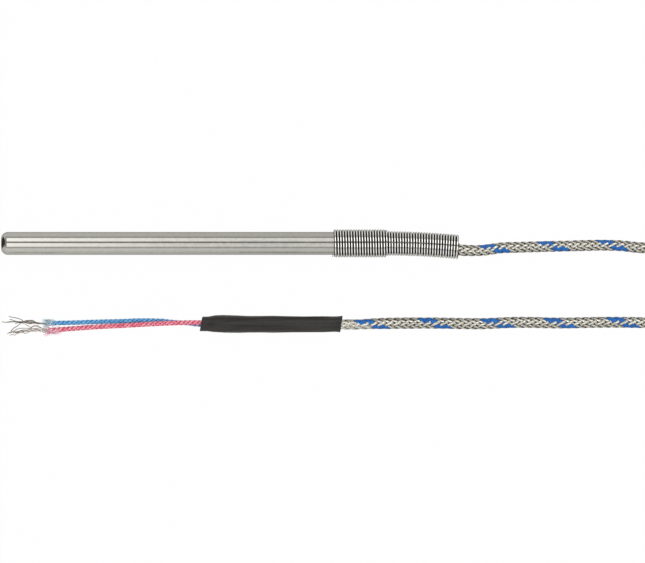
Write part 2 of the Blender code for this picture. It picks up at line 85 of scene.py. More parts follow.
# What scene.py adds to them
CABLE_CORE_RADIUS = 0.00103
BLUE_LEAD_CORE_RADIUS = 0.00046
RED_LEAD_CORE_RADIUS = 0.00050
CABLE_STEP = 0.0003
LEAD_STEP = 0.0002
HANK_STRAIGHT_STEPS = 10
HANK_BEND_STEPS = 8
FRAY_HAIRS = 160
FRAY_HAIR_RADIUS = 0.000025
FRAY_HAIR_STEPS = 6

# Routes, as x, y and height over the surface that the probe lies on
PROBE_RUN = [
    (0.0900, 0.0, AXIS_HEIGHT),
    (0.0950, 0.0, AXIS_HEIGHT),
    (0.1000, 0.0, AXIS_HEIGHT),
    (0.1050, -0.00012, AXIS_HEIGHT - 0.00003),
    (0.1100, -0.00045, AXIS_HEIGHT - 0.00010),
    (0.1150, -0.00098, AXIS_HEIGHT - 0.00020),
    (0.1204, -0.00178, AXIS_HEIGHT - 0.00035),
    (0.1251, -0.00185, 0.0026),
    (0.1280, -0.00152, 0.0020),
    (0.1310, -0.00115, 0.0016),
    (0.1355, -0.00100, CABLE_RADIUS),
    (0.1407, -0.00086, CABLE_RADIUS),
    (0.1459, -0.00073, CABLE_RADIUS),
    (0.1512, -0.00060, CABLE_RADIUS),
    (0.1564, -0.00047, CABLE_RADIUS),
    (0.1616, -0.00060, CABLE_RADIUS),
    (0.1668, -0.00110, CABLE_RADIUS),
    (0.1710, -0.00125, 0.0016),
    (0.1745, -0.00050, 0.0019),
    (0.1780, 0.00072, 0.0022),
]
INTO_HANK = [
    (0.1815, 0.00205, 0.00232),
    (0.1850, 0.00315, 0.00235),
    (0.1885, 0.00382, 0.00235),
]
OUT_OF_HANK = [
    (0.1885, -0.02585, 0.0050),
    (0.1850, -0.02510, 0.0047),
    (0.1815, -0.02402, 0.0041),
]
TAIL_RUN = [
    (0.1780, -0.02272, 0.0034),
    (0.1745, -0.02160, 0.0026),
    (0.1710, -0.02095, 0.0020),
    (0.1680, -0.02072, 0.0016),
    (0.1620, -0.02060, CABLE_RADIUS),
    (0.1560, -0.02062, CABLE_RADIUS),
    (0.1460, -0.02080, CABLE_RADIUS),
    (0.1350, -0.02062, CABLE_RADIUS),
    (0.1250, -0.02098, CABLE_RADIUS),
    (0.1150, -0.02082, CABLE_RADIUS),
    (0.1060, -0.02082, 0.0015),
    (0.0980, -0.02095, 0.0018),
    (0.0930, -0.02116, 0.0022),
    (0.0880, SLEEVE_Y - 0.0001, SLEEVE_AXIS_HEIGHT),
    (0.0800, SLEEVE_Y, SLEEVE_AXIS_HEIGHT),
    (0.0700, SLEEVE_Y, SLEEVE_AXIS_HEIGHT),
    (BRAID_CUT, SLEEVE_Y, SLEEVE_AXIS_HEIGHT),
]
BLUE_EXIT = (SLEEVE_START, -0.02122, 0.00175)
BLUE_ROUTE = [
    (LEAD_START, -0.02140, 0.00185),
    (0.0570, -0.02142, 0.00182),
    BLUE_EXIT,
    (0.0493, -0.02092, 0.00130),
    (0.0467, -0.02070, 0.00075),
    (0.0441, -0.02048, 0.00060),
    (0.0415, -0.02022, 0.00060),
    (0.0363, -0.02015, 0.00060),
    (0.0311, -0.02034, 0.00060),
    (0.0258, -0.02045, 0.00060),
    (0.0206, -0.02065, 0.00060),
    (0.0154, -0.02078, 0.00060),
    (BLUE_LEAD_END, -0.02085, 0.00062),
]
RED_EXIT = (SLEEVE_START, -0.02071, 0.00305)
RED_ROUTE = [
    (LEAD_START, -0.02078, 0.00310),
    (0.0570, -0.02080, 0.00312),
    RED_EXIT,
    (0.0493, -0.02070, 0.00265),
    (0.0467, -0.02075, 0.00232),
    (0.0441, -0.02083, 0.00212),
    (0.0415, -0.02093, 0.00196),
    (0.0389, -0.02108, 0.00178),
    (0.0363, -0.02122, 0.00160),
    (0.0311, -0.02152, 0.00135),
    (0.0258, -0.02176, 0.00105),
    (0.0206, -0.02212, 0.00070),
    (0.0154, -0.02252, 0.00065),
    (RED_LEAD_END, -0.02278, 0.00066),
]
# Each bare strand's height over the surface, then its route in millimetres from the lead to its free end
BLUE_STRANDS = [
    [
        0.00036, (12.2, -20.90), (11.28, -20.98), (10.38, -20.83), (9.48, -20.86), (8.88, -20.60),
        (8.21, -20.53), (7.53, -20.75), (6.78, -20.75), (6.18, -20.50), (5.73, -20.41), (4.98, -20.45),
        (3.49, -20.41), (1.99, -20.50), (1.24, -20.60), (0.49, -20.53), (0.12, -20.47),
    ],
    [
        0.00015, (12.2, -21.12), (11.28, -21.08), (10.38, -21.00), (9.48, -21.00), (8.60, -20.85),
        (7.80, -21.00), (7.00, -20.92), (6.20, -20.72), (5.20, -20.60), (4.00, -20.54), (3.00, -20.52),
        (2.00, -20.58), (1.00, -20.64),
    ],
    [
        0.00050, (12.2, -20.66), (10.38, -20.78), (9.30, -20.66), (8.80, -20.45), (8.13, -20.08),
        (7.53, -20.12), (6.93, -20.08), (6.33, -20.20), (5.73, -20.34), (5.28, -19.93), (4.68, -19.70),
        (3.94, -19.51), (3.19, -19.33), (2.44, -19.21), (1.99, -19.03),
    ],
    [
        0.00058, (12.2, -20.80), (11.0, -20.90), (9.80, -20.78), (9.00, -20.72), (8.20, -20.62),
        (7.40, -20.48), (6.60, -20.42), (5.80, -20.50), (4.98, -20.45), (4.24, -20.41), (3.79, -20.34),
        (3.19, -20.15), (2.59, -19.93), (2.14, -19.82),
    ],
    [
        0.00024, (12.2, -20.98), (10.6, -20.90), (9.50, -20.90), (8.80, -20.62), (8.10, -20.66),
        (7.53, -20.90), (6.93, -20.83), (6.33, -20.60), (5.73, -20.60), (4.98, -20.90), (4.38, -21.43),
        (3.79, -21.80), (3.19, -22.17), (2.74, -22.62), (2.44, -23.07),
    ],
    [
        0.00014, (12.2, -20.80), (10.5, -20.92), (9.40, -20.74), (8.60, -20.56), (7.80, -20.28),
        (7.00, -20.24), (6.20, -20.34), (5.40, -20.48), (4.40, -20.44), (3.40, -20.46), (2.40, -20.44),
        (1.60, -20.52),
    ],
    [
        0.00044, (12.2, -21.02), (10.9, -21.00), (10.0, -20.92), (9.20, -20.82), (8.40, -20.68),
        (7.60, -20.56), (6.60, -20.50), (5.60, -20.52), (4.70, -20.64), (3.92, -20.84), (3.66, -21.06),
    ],
]
RED_STRANDS = [
    [
        0.00094, (12.3, -22.62), (11.13, -22.25), (10.53, -22.10), (10.08, -21.80), (9.48, -21.50),
        (8.73, -21.43), (8.28, -21.58), (7.98, -21.95), (7.38, -22.32), (6.78, -22.55), (6.18, -22.70),
        (5.73, -22.62), (5.00, -22.80), (4.20, -23.00), (3.40, -23.18), (2.29, -23.22), (1.54, -23.67),
    ],
    [
        0.00062, (12.3, -22.50), (11.13, -22.17), (10.1, -22.12), (9.03, -22.17), (8.13, -22.32),
        (7.20, -22.22), (6.18, -22.17), (4.98, -22.20), (3.94, -22.47), (3.04, -23.00), (2.44, -23.07),
    ],
    [
        0.00030, (12.3, -22.80), (11.73, -22.70), (10.83, -22.47), (10.08, -22.77), (9.33, -22.32),
        (8.58, -22.55), (8.13, -22.92), (7.23, -23.00), (5.73, -23.00), (4.98, -23.30), (4.24, -23.22),
        (3.19, -23.37), (2.29, -23.22), (1.69, -23.52),
    ],
    [
        0.00014, (12.3, -22.95), (11.9, -22.85), (11.13, -23.22), (10.68, -23.00), (10.1, -23.00),
        (9.63, -22.70), (9.03, -23.00), (8.13, -22.92), (7.38, -23.07), (6.48, -23.45), (6.03, -23.52),
        (5.73, -23.15), (4.68, -23.37), (3.94, -23.67), (3.49, -23.97), (2.74, -23.82), (2.14, -24.12),
    ],
    [
        0.00078, (12.3, -22.72), (11.3, -22.62), (10.53, -23.00), (9.93, -22.92), (9.20, -22.62),
        (8.40, -22.62), (7.60, -22.85), (6.80, -22.72), (6.00, -22.62), (5.20, -22.92), (4.40, -23.10),
        (3.60, -23.02), (2.80, -23.30), (2.00, -23.42),
    ],
    [
        0.00046, (12.3, -23.10), (11.4, -22.90), (10.4, -22.55), (9.60, -22.45), (8.80, -22.70),
        (8.00, -22.62), (7.20, -22.50), (6.40, -22.85), (5.60, -23.30), (4.90, -23.37), (4.10, -23.45),
        (3.30, -23.30), (2.50, -23.30),
    ],
    [
        0.00070, (12.3, -22.68), (11.2, -22.40), (10.3, -22.06), (9.60, -21.72), (8.80, -21.60),
        (8.20, -21.78), (7.70, -21.92), (7.20, -21.70), (6.93, -21.50), (6.33, -21.13), (5.73, -20.90),
        (5.00, -20.75), (4.30, -20.68),
    ],
]

# The picture: 3.83 pixels to a millimetre, seen from straight above
PICTURE_WIDTH = 645
PIXELS_PER_METRE = 3830.0
VIEW_CENTRE = (0.08394, -0.00995)
CAMERA_HEIGHT = 3.0
SENSOR_WIDTH = 36.0


# Lines and tracks


def smooth_line(route, spacing):
    """Points read every spacing or so from a smooth curve through a route's own points."""
    points = [Vector(place) for place in route]
    first = points[0] * 2 - points[1]
    last = points[-1] * 2 - points[-2]
    guides = [first, *points, last]
    line = []
    for index in range(1, len(guides) - 2):
        before, start, end, after = guides[index - 1 : index + 3]
        steps = max(1, round((end - start).length / spacing))
        for step in range(steps):
            t = step / steps
            line.append(
                0.5
                * (
                    start * 2
                    + (end - before) * t
                    + (before * 2 - start * 5 + end * 4 - after) * t * t
                    + (start * 3 - before - end * 3 + after) * t * t * t
                )
            )
    line.append(points[-1])
    return line


def lay_down(line):
    """Turns heights over the surface into heights in the part's frame."""
    return [(place[0], place[1], place[2] + FLOOR_Z) for place in line]


def straight(start_x, end_x, y, height):
    run = (end_x - start_x) / HANK_STRAIGHT_STEPS
    return [(start_x + run * step, y, height) for step in range(HANK_STRAIGHT_STEPS)]


def half_turn(x, start_angle, near, far):
    """Points clockwise round the hank's end at x, from the radius and height near to those of far."""
    points = []
    for step in range(HANK_BEND_STEPS):
        share = step / HANK_BEND_STEPS
        ease = share * share * (3 - 2 * share)
        angle = start_angle - math.pi * share
        bend = near[0] + (far[0] - near[0]) * share
        y = HANK_CENTRE_Y + bend * math.sin(angle)
        points.append((x + bend * math.cos(angle), y, near[1] + (far[1] - near[1]) * ease))
    return points


def hank_route():
    """The spare lead's turns: in on the outside of the lower layer, out on the outside of the upper."""
    layers = [HANK_BOTTOM + CABLE_RADIUS, HANK_BOTTOM + 3 * CABLE_RADIUS]
    half = len(HANK_RADII) // 2
    turns = [(radius, layers[index // half]) for index, radius in enumerate(HANK_RADII)]
    end = HANK_START + HANK_RUN
    route = []
    for index, (radius, height) in enumerate(turns):
        route += straight(HANK_START, end, HANK_CENTRE_Y + radius, height)
        route += half_turn(end, math.pi / 2, turns[index], turns[index])
        route += straight(end, HANK_START, HANK_CENTRE_Y - radius, height)
        if index + 1 < len(turns):
            route += half_turn(HANK_START, -math.pi / 2, turns[index], turns[index + 1])
    route.append((HANK_START, HANK_CENTRE_Y - HANK_RADII[-1], layers[-1]))
    return route


class Track:
    """A dense line with the distance along it, and at each place its direction, side and top."""

    def __init__(self, line):
        self.points = np.array(line, float)
        steps = np.linalg.norm(np.diff(self.points, axis=0), axis=1)
        self.along = np.concatenate([[0.0], np.cumsum(steps)])
        self.length = float(self.along[-1])
        self.direction = np.gradient(self.points, self.along, axis=0)

    def at(self, distance):
        centre = np.stack([np.interp(distance, self.along, self.points[:, k]) for k in range(3)], -1)
        ahead = np.stack([np.interp(distance, self.along, self.direction[:, k]) for k in range(3)], -1)
        ahead /= np.linalg.norm(ahead, axis=-1, keepdims=True)
        top = np.array([0.0, 0.0, 1.0]) - ahead * ahead[..., 2:3]
        top /= np.linalg.norm(top, axis=-1, keepdims=True)
        return centre, ahead, np.cross(top, ahead), top

    def nearest(self, x, y, first=0.0, last=1e9):
        """The distance along the line of its place nearest to x and y."""
        gap = np.hypot(self.points[:, 0] - x, self.points[:, 1] - y)
        gap[(self.along < first) | (self.along > last)] = 1e9
        return float(self.along[int(np.argmin(gap))])


# Objects


def linked(name, data):
    obj = bpy.data.objects.new(name, data)
    scene.collection.objects.link(obj)
    return obj


def round_wire(name, lines, radius, resolution, shares=None):
    """A curve object: one round wire along each line, with closed ends."""
    curve = bpy.data.curves.new(name, "CURVE")
    curve.dimensions = "3D"
    curve.bevel_depth = radius
    curve.bevel_resolution = resolution
    curve.use_fill_caps = True
    for line in lines:
        spline = curve.splines.new("POLY")
        spline.points.add(len(line) - 1)
        flat = np.ones((len(line), 4))
        flat[:, :3] = np.array(line)
        spline.points.foreach_set("co", flat.ravel())
        if shares is not None:
            spline.points.foreach_set("radius", shares)
        spline.use_smooth = True
    return linked(name, curve)


# Camera and cords come first


def add_camera():
    camera = bpy.data.cameras.new("camera")
    width = PICTURE_WIDTH / PIXELS_PER_METRE
    camera.sensor_width = SENSOR_WIDTH
    camera.lens = SENSOR_WIDTH * CAMERA_HEIGHT / width
    camera.clip_start = 0.01
    camera.clip_end = 20.0
    obj = linked("camera", camera)
    obj.location = (*VIEW_CENTRE, CAMERA_HEIGHT)
    scene.camera = obj


add_camera()
cable_route = PROBE_RUN + INTO_HANK + hank_route() + OUT_OF_HANK + TAIL_RUN
cable_track = Track(lay_down(smooth_line(cable_route, CABLE_STEP)))


def fullness(s):
    """The braid's width: drawn tight at the spring and the sleeve, a little swollen in between."""
    end = cable_track.length
    stations = [0, 0.0230, 0.0265, 0.0300, 0.0350, 0.0900]
    stations += [end - 0.0900, end - 0.0390, end - 0.0350, end - 0.0320, end]
    shares = [0.86, 0.90, 0.97, 1.05, 1.0, 1.0, 1.0, 1.05, 0.98, 0.92, 0.88]
    return np.interp(s, stations, shares)


core_shares = np.minimum(fullness(cable_track.along[::6]), 1.0).tolist()
core_line = cable_track.points[::6].tolist()
cable_core = round_wire("cable_core", [core_line], CABLE_CORE_RADIUS, 2, core_shares)
blue_track = Track(lay_down(smooth_line(BLUE_ROUTE, LEAD_STEP)))
red_track = Track(lay_down(smooth_line(RED_ROUTE, LEAD_STEP)))
blue_core = round_wire("blue_lead_core", [blue_track.points[::3].tolist()], BLUE_LEAD_CORE_RADIUS, 2)
red_core = round_wire("red_lead_core", [red_track.points[::3].tolist()], RED_LEAD_CORE_RADIUS, 2)


# Braids


def seeded_wander(seed, scale):
    """A smooth function of distance that wanders up and down by about one."""
    draw = np.random.default_rng(seed)
    waves = [(draw.uniform(0.6, 2.2) / scale, draw.uniform(0, math.tau)) for _ in range(4)]
    return lambda s: sum(np.sin(s * rate * math.tau + phase) for rate, phase in waves) / 2.0


def flat_grids(name, along, across, count=1):
    """A mesh of flat grids from -1 to 1, for the steps along and across each."""
    work = bmesh.new()
    for _ in range(count):
        bmesh.ops.create_grid(work, x_segments=along, y_segments=across, size=1.0)
    mesh = bpy.data.meshes.new(name)
    work.to_mesh(mesh)
    work.free()
    return mesh


def vertex_places(mesh):
    flat = np.empty(len(mesh.vertices) * 3, np.float32)
    mesh.vertices.foreach_get("co", flat)
    return flat.reshape(-1, 3)


def move_vertices(mesh, places):
    mesh.vertices.foreach_set("co", places.astype(np.float32).ravel())


def close_seams(mesh):
    """Merges the seam of a rolled-up grid and fills its two ends."""
    work = bmesh.new()
    work.from_mesh(mesh)
    bmesh.ops.remove_doubles(work, verts=work.verts, dist=0.0000002)
    open_edges = [edge for edge in work.edges if edge.is_boundary]
    bmesh.ops.holes_fill(work, edges=open_edges, sides=0)
    bmesh.ops.recalc_face_normals(work, faces=work.faces)
    work.to_mesh(mesh)
    work.free()


def rolled_up(name, mesh, places, shades, sharp_angle):
    """A rolled-up grid: its vertices in place, its band attribute kept and its seams closed."""
    move_vertices(mesh, places)
    band = mesh.attributes.new("band", "FLOAT_VECTOR", "POINT")
    band.data.foreach_set("vector", shades.astype(np.float32).ravel())
    close_seams(mesh)
    mesh.shade_smooth()
    mesh.set_sharp_from_angle(angle=math.radians(sharp_angle))
    return linked(name, mesh)


def braided_cover(name, track, span, carriers, family_size, turn_of, roll, radius_of, weave):
    """Flat bands wound both ways round a line, each over two and under two of the others.

    carriers lists (direction, number) pairs. turn_of gives the winding in carriers and radius_of
    the mean radius, each for a distance along the line. roll turns the whole braid, in radians.
    weave holds the band's own sizes.
    """
    steps = max(8, round((span[1] - span[0]) / weave["step"]))
    upper = weave["upper"]
    cross = upper + weave["under"]
    mesh = flat_grids(name, steps, cross, len(carriers))
    grid = vertex_places(mesh).reshape(len(carriers), -1, 3).astype(float)
    distance = span[0] + (grid[..., 0] + 1) / 2 * (span[1] - span[0])
    column = np.rint((grid[..., 1] + 1) / 2 * cross) % cross
    on_top = column <= upper
    across = np.where(on_top, column / upper * 2 - 1, 1 - (column - upper) / weave["under"] * 2)
    places = np.empty_like(grid)
    shades = np.empty_like(grid)
    sector = math.tau / family_size
    for index, (direction, number) in enumerate(carriers):
        s = distance[index]
        wander = seeded_wander(weave["seed"] + index, weave["wander_length"])
        turn = turn_of(s) + weave["unevenness"] * wander(s)
        own_angle = direction * turn + number
        over = direction * np.cos(math.pi * own_angle - math.pi / 4)
        over = np.tanh(weave["steepness"] * over) / math.tanh(weave["steepness"])
        edge = np.abs(across[index])
        crown = np.sqrt(np.clip(1 - edge**2 * weave["flatness"], 0, 1))
        ridges = np.abs(np.sin(math.pi * weave["wires"] * (across[index] + 1) / 2))
        body = weave["thickness"] / 2 * crown + weave["wire_height"] * ridges
        rise = np.where(on_top[index], body, -weave["thickness"] / 2 * crown)
        radius = radius_of(s) + weave["lift"] * over + rise
        radius += weave["roughness"] * wander(s * 1.7 + 0.01)
        tightness = np.minimum(radius_of(s) / weave["cover_radius"], 1.0)
        spread = own_angle + across[index] * weave["cover"] / tightness / 2
        theta = spread * sector + roll
        centre, _, side, top = track.at(s)
        places[index] = centre + radius[:, None] * (
            side * np.cos(theta)[:, None] + top * np.sin(theta)[:, None]
        )
        shades[index, :, 0] = s * 1000
        # The across value, shrunk where the braid is drawn tight, so the painted shade at the bands' edges
        # is lighter there.
        shades[index, :, 1] = across[index] * tightness**6
        shades[index, :, 2] = (index * 0.37) % 1.0
    places[..., 2] = np.maximum(places[..., 2], FLOOR_Z + 0.000002)
    return rolled_up(name, mesh, places, shades, 55)


def both_ways(count):
    return [(way, number) for way in (1, -1) for number in range(count)]


CABLE_FAMILY = 8
TRACER = [(1, 0), (1, 1)]
PROBE_LAY = 0.0155
TAIL_LAY = 0.0164
SLEEVE_LAY = 0.0185
BRAID_ROLL = math.radians(26.25)
HANK_LAY = 0.0155
# How far the braid has wound, in carriers, where the tracer lies on top
TRACER_ON_TOP = 1.25
# Neither stretch of lead between an end and the hank is longer than this
END_STRETCH = 0.2
WIRE_BAND = {
    "step": 0.00031,
    "upper": 8,
    "under": 4,
    "thickness": 0.00010,
    "flatness": 0.9,
    "wires": 4,
    "wire_height": 0.000040,
    "lift": 0.000110,
    "steepness": 1.5,
    "cover": 0.78,
    "cover_radius": BRAID_MEAN_RADIUS,
    "roughness": 0.000010,
    "unevenness": 0.03,
    "wander_length": 0.02,
    "seed": 11,
}
HANK_WIRE_BAND = dict(WIRE_BAND, step=0.00078, upper=2, under=2, wires=1, wire_height=0.0, seed=31)
YARN_BAND = dict(WIRE_BAND, thickness=0.00016, flatness=0.96, wires=3, wire_height=0.00001, seed=51)
YARN_BAND.update(lift=0.000095, cover=1.55)
HANK_YARN_BAND = dict(YARN_BAND, step=0.00078, upper=2, under=2, wires=1, wire_height=0.0, seed=71)


def cable_winding(track):
    """How the braid winds along the lead, so that its tracer lies as it should at both ends."""
    seen_start = track.nearest(0.1296, -0.0014, last=END_STRETCH)
    hank_in = track.nearest(0.176, 0.0, last=END_STRETCH)
    hank_out = track.nearest(0.176, -0.0220, first=track.length - END_STRETCH)
    seen_end = track.nearest(0.0960, -0.0209, first=track.length - END_STRETCH)
    wound_in = TRACER_ON_TOP + CABLE_FAMILY * (hank_in - seen_start) / PROBE_LAY
    wound_out = TRACER_ON_TOP + CABLE_FAMILY * (hank_out - seen_end) / TAIL_LAY
    wanted = CABLE_FAMILY * (hank_out - hank_in) / HANK_LAY
    laps = round((wanted - (wound_out - wound_in)) / CABLE_FAMILY)
    wound_out += laps * CABLE_FAMILY
    start = wound_in - CABLE_FAMILY * hank_in / PROBE_LAY
    late = wound_out + CABLE_FAMILY * (seen_end - hank_out) / TAIL_LAY
    end = late + CABLE_FAMILY * (track.length - seen_end) / SLEEVE_LAY
    stations = [0.0, hank_in, hank_out, seen_end, track.length]
    turns = [start, wound_in, wound_out, late, end]
    return lambda s: np.interp(s, stations, turns), hank_in, hank_out


turn_of, hank_in, hank_out = cable_winding(cable_track)


def braid_radius(s):
    return BRAID_MEAN_RADIUS * fullness(s)


braid_start = cable_track.nearest(0.1006, 0.0, last=END_STRETCH)
braid_spans = {
    "probe": (braid_start, hank_in),
    "hank": (hank_in, hank_out),
    "tail": (hank_out, cable_track.length - 0.0001),
}
metal_carriers = [c for c in both_ways(CABLE_FAMILY) if c not in TRACER]
braids = {}
tracers = {}
for place, span in braid_spans.items():
    wire_sizes = HANK_WIRE_BAND if place == "hank" else WIRE_BAND
    yarn_sizes = HANK_YARN_BAND if place == "hank" else YARN_BAND
    shared = (CABLE_FAMILY, turn_of, BRAID_ROLL, braid_radius)
    braids[place] = braided_cover(
        f"wire_braid_{place}", cable_track, span, metal_carriers, *shared, wire_sizes
    )
    tracers[place] = braided_cover(
        f"tracer_yarn_{place}", cable_track, span, TRACER, *shared, yarn_sizes
    )

LEAD_FAMILY = 4
LEAD_LAY = 0.0049
LEAD_COVER_DEPTH = 0.00009
LEAD_BAND = {
    "step": 0.00014,
    "upper": 6,
    "under": 2,
    "thickness": 0.00011,
    "flatness": 0.98,
    "wires": 1,
    "wire_height": 0.0,
    "lift": 0.000045,
    "steepness": 0.8,
    "cover": 0.92,
    "roughness": 0.000008,
    "unevenness": 0.05,
    "wander_length": 0.008,
    "seed": 91,
}


def lead_cover(name, track, diameter, seed):
    radius = diameter / 2 - LEAD_COVER_DEPTH
    winding = (LEAD_FAMILY, lambda s: LEAD_FAMILY * s / LEAD_LAY, 0.0, lambda s: s * 0.0 + radius)
    band = dict(LEAD_BAND, cover_radius=radius, seed=seed)
    return braided_cover(name, track, (0.0, track.length), both_ways(LEAD_FAMILY), *winding, band)


blue_cover = lead_cover("blue_lead_cover", blue_track, BLUE_LEAD_DIAMETER, 91)
red_cover = lead_cover("red_lead_cover", red_track, RED_LEAD_DIAMETER, 131)


# Bare strands


def bare_strands(name, strands):
    made = []
    for index, (height, *places) in enumerate(strands):
        route = []
        for step, (x, y) in enumerate(places):
            level = LEAD_END_HEIGHT + (height - LEAD_END_HEIGHT) * min(1, step / 3)
            route.append((x / 1000, y / 1000, level))
        line = lay_down(smooth_line(route, LEAD_STEP))
        strand = round_wire(f"{name}_wire_{index + 1}", [line], STRAND_DIAMETER / 2, 2)
        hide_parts(f"{name}_{index + 1}")
        made.append(strand)
    return made


blue_strands = bare_strands("blue_strand", BLUE_STRANDS)
red_strands = bare_strands("red_strand", RED_STRANDS)


# Sheath, spring and sleeve


def spun(name, profile, sides):
    """A closed profile of (x, radius) points turned about the X axis."""
    work = bmesh.new()
    verts = [work.verts.new((x, radius, 0.0)) for x, radius in profile]
    edges = [work.edges.new(pair) for pair in zip(verts, verts[1:])]
    turned = {"axis": (1, 0, 0), "cent": (0, 0, 0), "angle": math.tau}
    bmesh.ops.spin(work, geom=verts + edges, steps=sides, use_merge=True, **turned)
    bmesh.ops.remove_doubles(work, verts=work.verts, dist=0.0000005)
    bmesh.ops.recalc_face_normals(work, faces=work.faces)
    mesh = bpy.data.meshes.new(name)
    work.to_mesh(mesh)
    work.free()
    mesh.shade_smooth()
    mesh.set_sharp_from_angle(angle=math.radians(35))
    return linked(name, mesh)


def polished_sheath():
    """The tube with its rounded tip, and a small chamfer round the outside and the bore of its open end."""
    flat = SHEATH_RADIUS - TIP_CORNER_RADIUS
    steps = 16
    outer = 0.00012
    inner = 0.00008
    profile = [(0.0, 0.0)]
    for step in range(steps + 1):
        angle = math.pi / 2 * step / steps
        x = TIP_CORNER_RADIUS * (1 - math.cos(angle))
        profile.append((x, flat + TIP_CORNER_RADIUS * math.sin(angle)))
    profile += [(0.004, SHEATH_RADIUS), (0.05, SHEATH_RADIUS)]
    profile += [(SHEATH_LENGTH - outer, SHEATH_RADIUS), (SHEATH_LENGTH, SHEATH_RADIUS - outer)]
    profile += [(SHEATH_LENGTH, SHEATH_BORE_RADIUS + inner)]
    profile += [(SHEATH_LENGTH - inner, SHEATH_BORE_RADIUS), (TIP_WALL, SHEATH_BORE_RADIUS)]
    profile += [(TIP_WALL, 0.0)]
    return spun("polished_sheath", profile, 128)


def spring_axis(along):
    free = along - SPRING_GRIP_LENGTH
    if free <= 0:
        return Vector((SPRING_START + along, 0.0, 0.0)), Vector((0.0, 1.0, 0.0))
    turn = free / SPRING_BEND_RADIUS
    x = SHEATH_LENGTH + SPRING_BEND_RADIUS * math.sin(turn)
    y = -SPRING_BEND_RADIUS * (1 - math.cos(turn))
    return Vector((x, y, 0.0)), Vector((math.sin(turn), math.cos(turn), 0.0))


def coil_radius(along):
    neck = SPRING_NECK_TURNS * SPRING_PITCH
    share = min(1.0, max(0.0, (along - SPRING_GRIP_LENGTH - WIRE_RADIUS) / neck))
    ease = share * share * (3 - 2 * share)
    return GRIP_COIL_RADIUS + (FREE_COIL_RADIUS - GRIP_COIL_RADIUS) * ease


def swept_wire(name, centres, outward, sideways, radius, sides):
    """A round wire through rows of centres, each place's lean towards the next turn kept for painted shade.
    """
    rows = len(centres) - 1
    mesh = flat_grids(name, rows, sides)
    grid = vertex_places(mesh)
    row = np.rint((grid[:, 0] + 1) / 2 * rows).astype(int)
    angle = (np.rint((grid[:, 1] + 1) / 2 * sides) % sides) * math.tau / sides
    cosine = np.cos(angle)[:, None]
    sine = np.sin(angle)[:, None]
    places = centres[row] + radius * (outward[row] * cosine + sideways[row] * sine)
    shades = np.stack([row * 0.05, sine[:, 0], cosine[:, 0]], -1)
    return rolled_up(name, mesh, places, shades, 60)


STEPS_IN_A_TURN = 40
SPRING_WIRE_SIDES = 14


def coiled_spring():
    """A close-wound wire whose turns are a little uneven."""
    uneven = seeded_wander(7, 2.0)
    uneven_radius = 0.000012
    uneven_pitch = 0.000014
    steps = round(SPRING_TURNS * STEPS_IN_A_TURN)
    centres = []
    outward = []
    sideways = []
    for turns in np.linspace(0, SPRING_TURNS, steps + 1).tolist():
        centre, across = spring_axis(turns * SPRING_PITCH)
        angle = SPRING_START_ANGLE + math.tau * turns
        radius = coil_radius(turns * SPRING_PITCH) + uneven_radius * float(uneven(turns))
        offset = across * math.cos(angle) + Vector((0.0, 0.0, 1.0)) * math.sin(angle)
        along = Vector((across.y, -across.x, 0.0))
        centre = centre + along * uneven_pitch * float(uneven(turns * 0.6 + 3.0))
        centre = centre + radius * offset
        centre.z = max(centre.z, FLOOR_Z + WIRE_RADIUS)
        centres.append(centre)
        outward.append(offset)
        sideways.append(along)
    sections = [np.array(rows, float) for rows in (centres, outward, sideways)]
    return swept_wire("coiled_spring", *sections, WIRE_RADIUS, SPRING_WIRE_SIDES)


# The sleeve's outside radius by the distance from its end at the leads
SLEEVE_STATIONS = [
    (0.0000, 0.00190), (0.0018, 0.00192), (0.0036, 0.00222), (0.0060, 0.00229), (0.0100, 0.00224),
    (0.0125, 0.00217), (0.0190, 0.00221), (0.0215, 0.00215), (0.0240, 0.00211), (0.0320, 0.00207),
    (0.0342, 0.00199), (0.0356, 0.00203), (0.0367, 0.00218),
]


def wrinkled_sleeve():
    """A shrunk tube, creased lengthwise, with both ends cut a little askew."""
    stations = [place[0] for place in SLEEVE_STATIONS]
    radii = [place[1] for place in SLEEVE_STATIONS]
    steps = 150
    lip = 0.00006
    outer = [SLEEVE_LENGTH * step / steps for step in range(steps + 1)]
    profile = [(lip, np.interp(lip, stations, radii) - SLEEVE_WALL)]
    profile += [(0.0, radii[0] - SLEEVE_WALL + lip), (0.0, radii[0] - lip)]
    profile += [(x, float(np.interp(x, stations, radii))) for x in outer[1:-1]]
    profile += [(SLEEVE_LENGTH, radii[-1] - lip), (SLEEVE_LENGTH, radii[-1] - SLEEVE_WALL + lip)]
    profile += [
        (x, float(np.interp(x, stations, radii)) - SLEEVE_WALL) for x in outer[-2:1:-8]
    ]
    profile.append(profile[0])
    sleeve = spun("wrinkled_sleeve", profile, 72)
    mesh = sleeve.data
    co = vertex_places(mesh).astype(float)
    x = co[:, 0]
    angle = np.arctan2(co[:, 2], co[:, 1])
    radius = np.hypot(co[:, 1], co[:, 2])
    draw = np.random.default_rng(5)
    crease = np.zeros_like(x)
    for _ in range(14):
        lobes = draw.integers(2, 8)
        rate = draw.uniform(40, 190)
        phase = draw.uniform(0, math.tau, 2)
        height = 0.000050 / lobes**0.6
        crease += height * np.sin(lobes * angle + phase[0] + 2.5 * np.sin(x * rate * 0.4))
        crease += 0.000018 * np.sin(x * rate * 3.5 + phase[1] + lobes * angle)
    ease = np.clip(np.minimum(x, SLEEVE_LENGTH - x) / 0.003, 0.25, 1)
    radius = radius + np.clip(crease, -0.00016, 0.00008) * ease
    y = radius * np.cos(angle)
    z = radius * np.sin(angle)
    skew = np.interp(x, [0.0, 0.006, 0.030, SLEEVE_LENGTH], [0.18, 0.0, 0.0, 0.15])
    co[:, 0] = x + skew * y + SLEEVE_START
    co[:, 1] = y + SLEEVE_Y
    co[:, 2] = z + FLOOR_Z + SLEEVE_AXIS_HEIGHT
    move_vertices(mesh, co)
    mesh.update()
    return sleeve


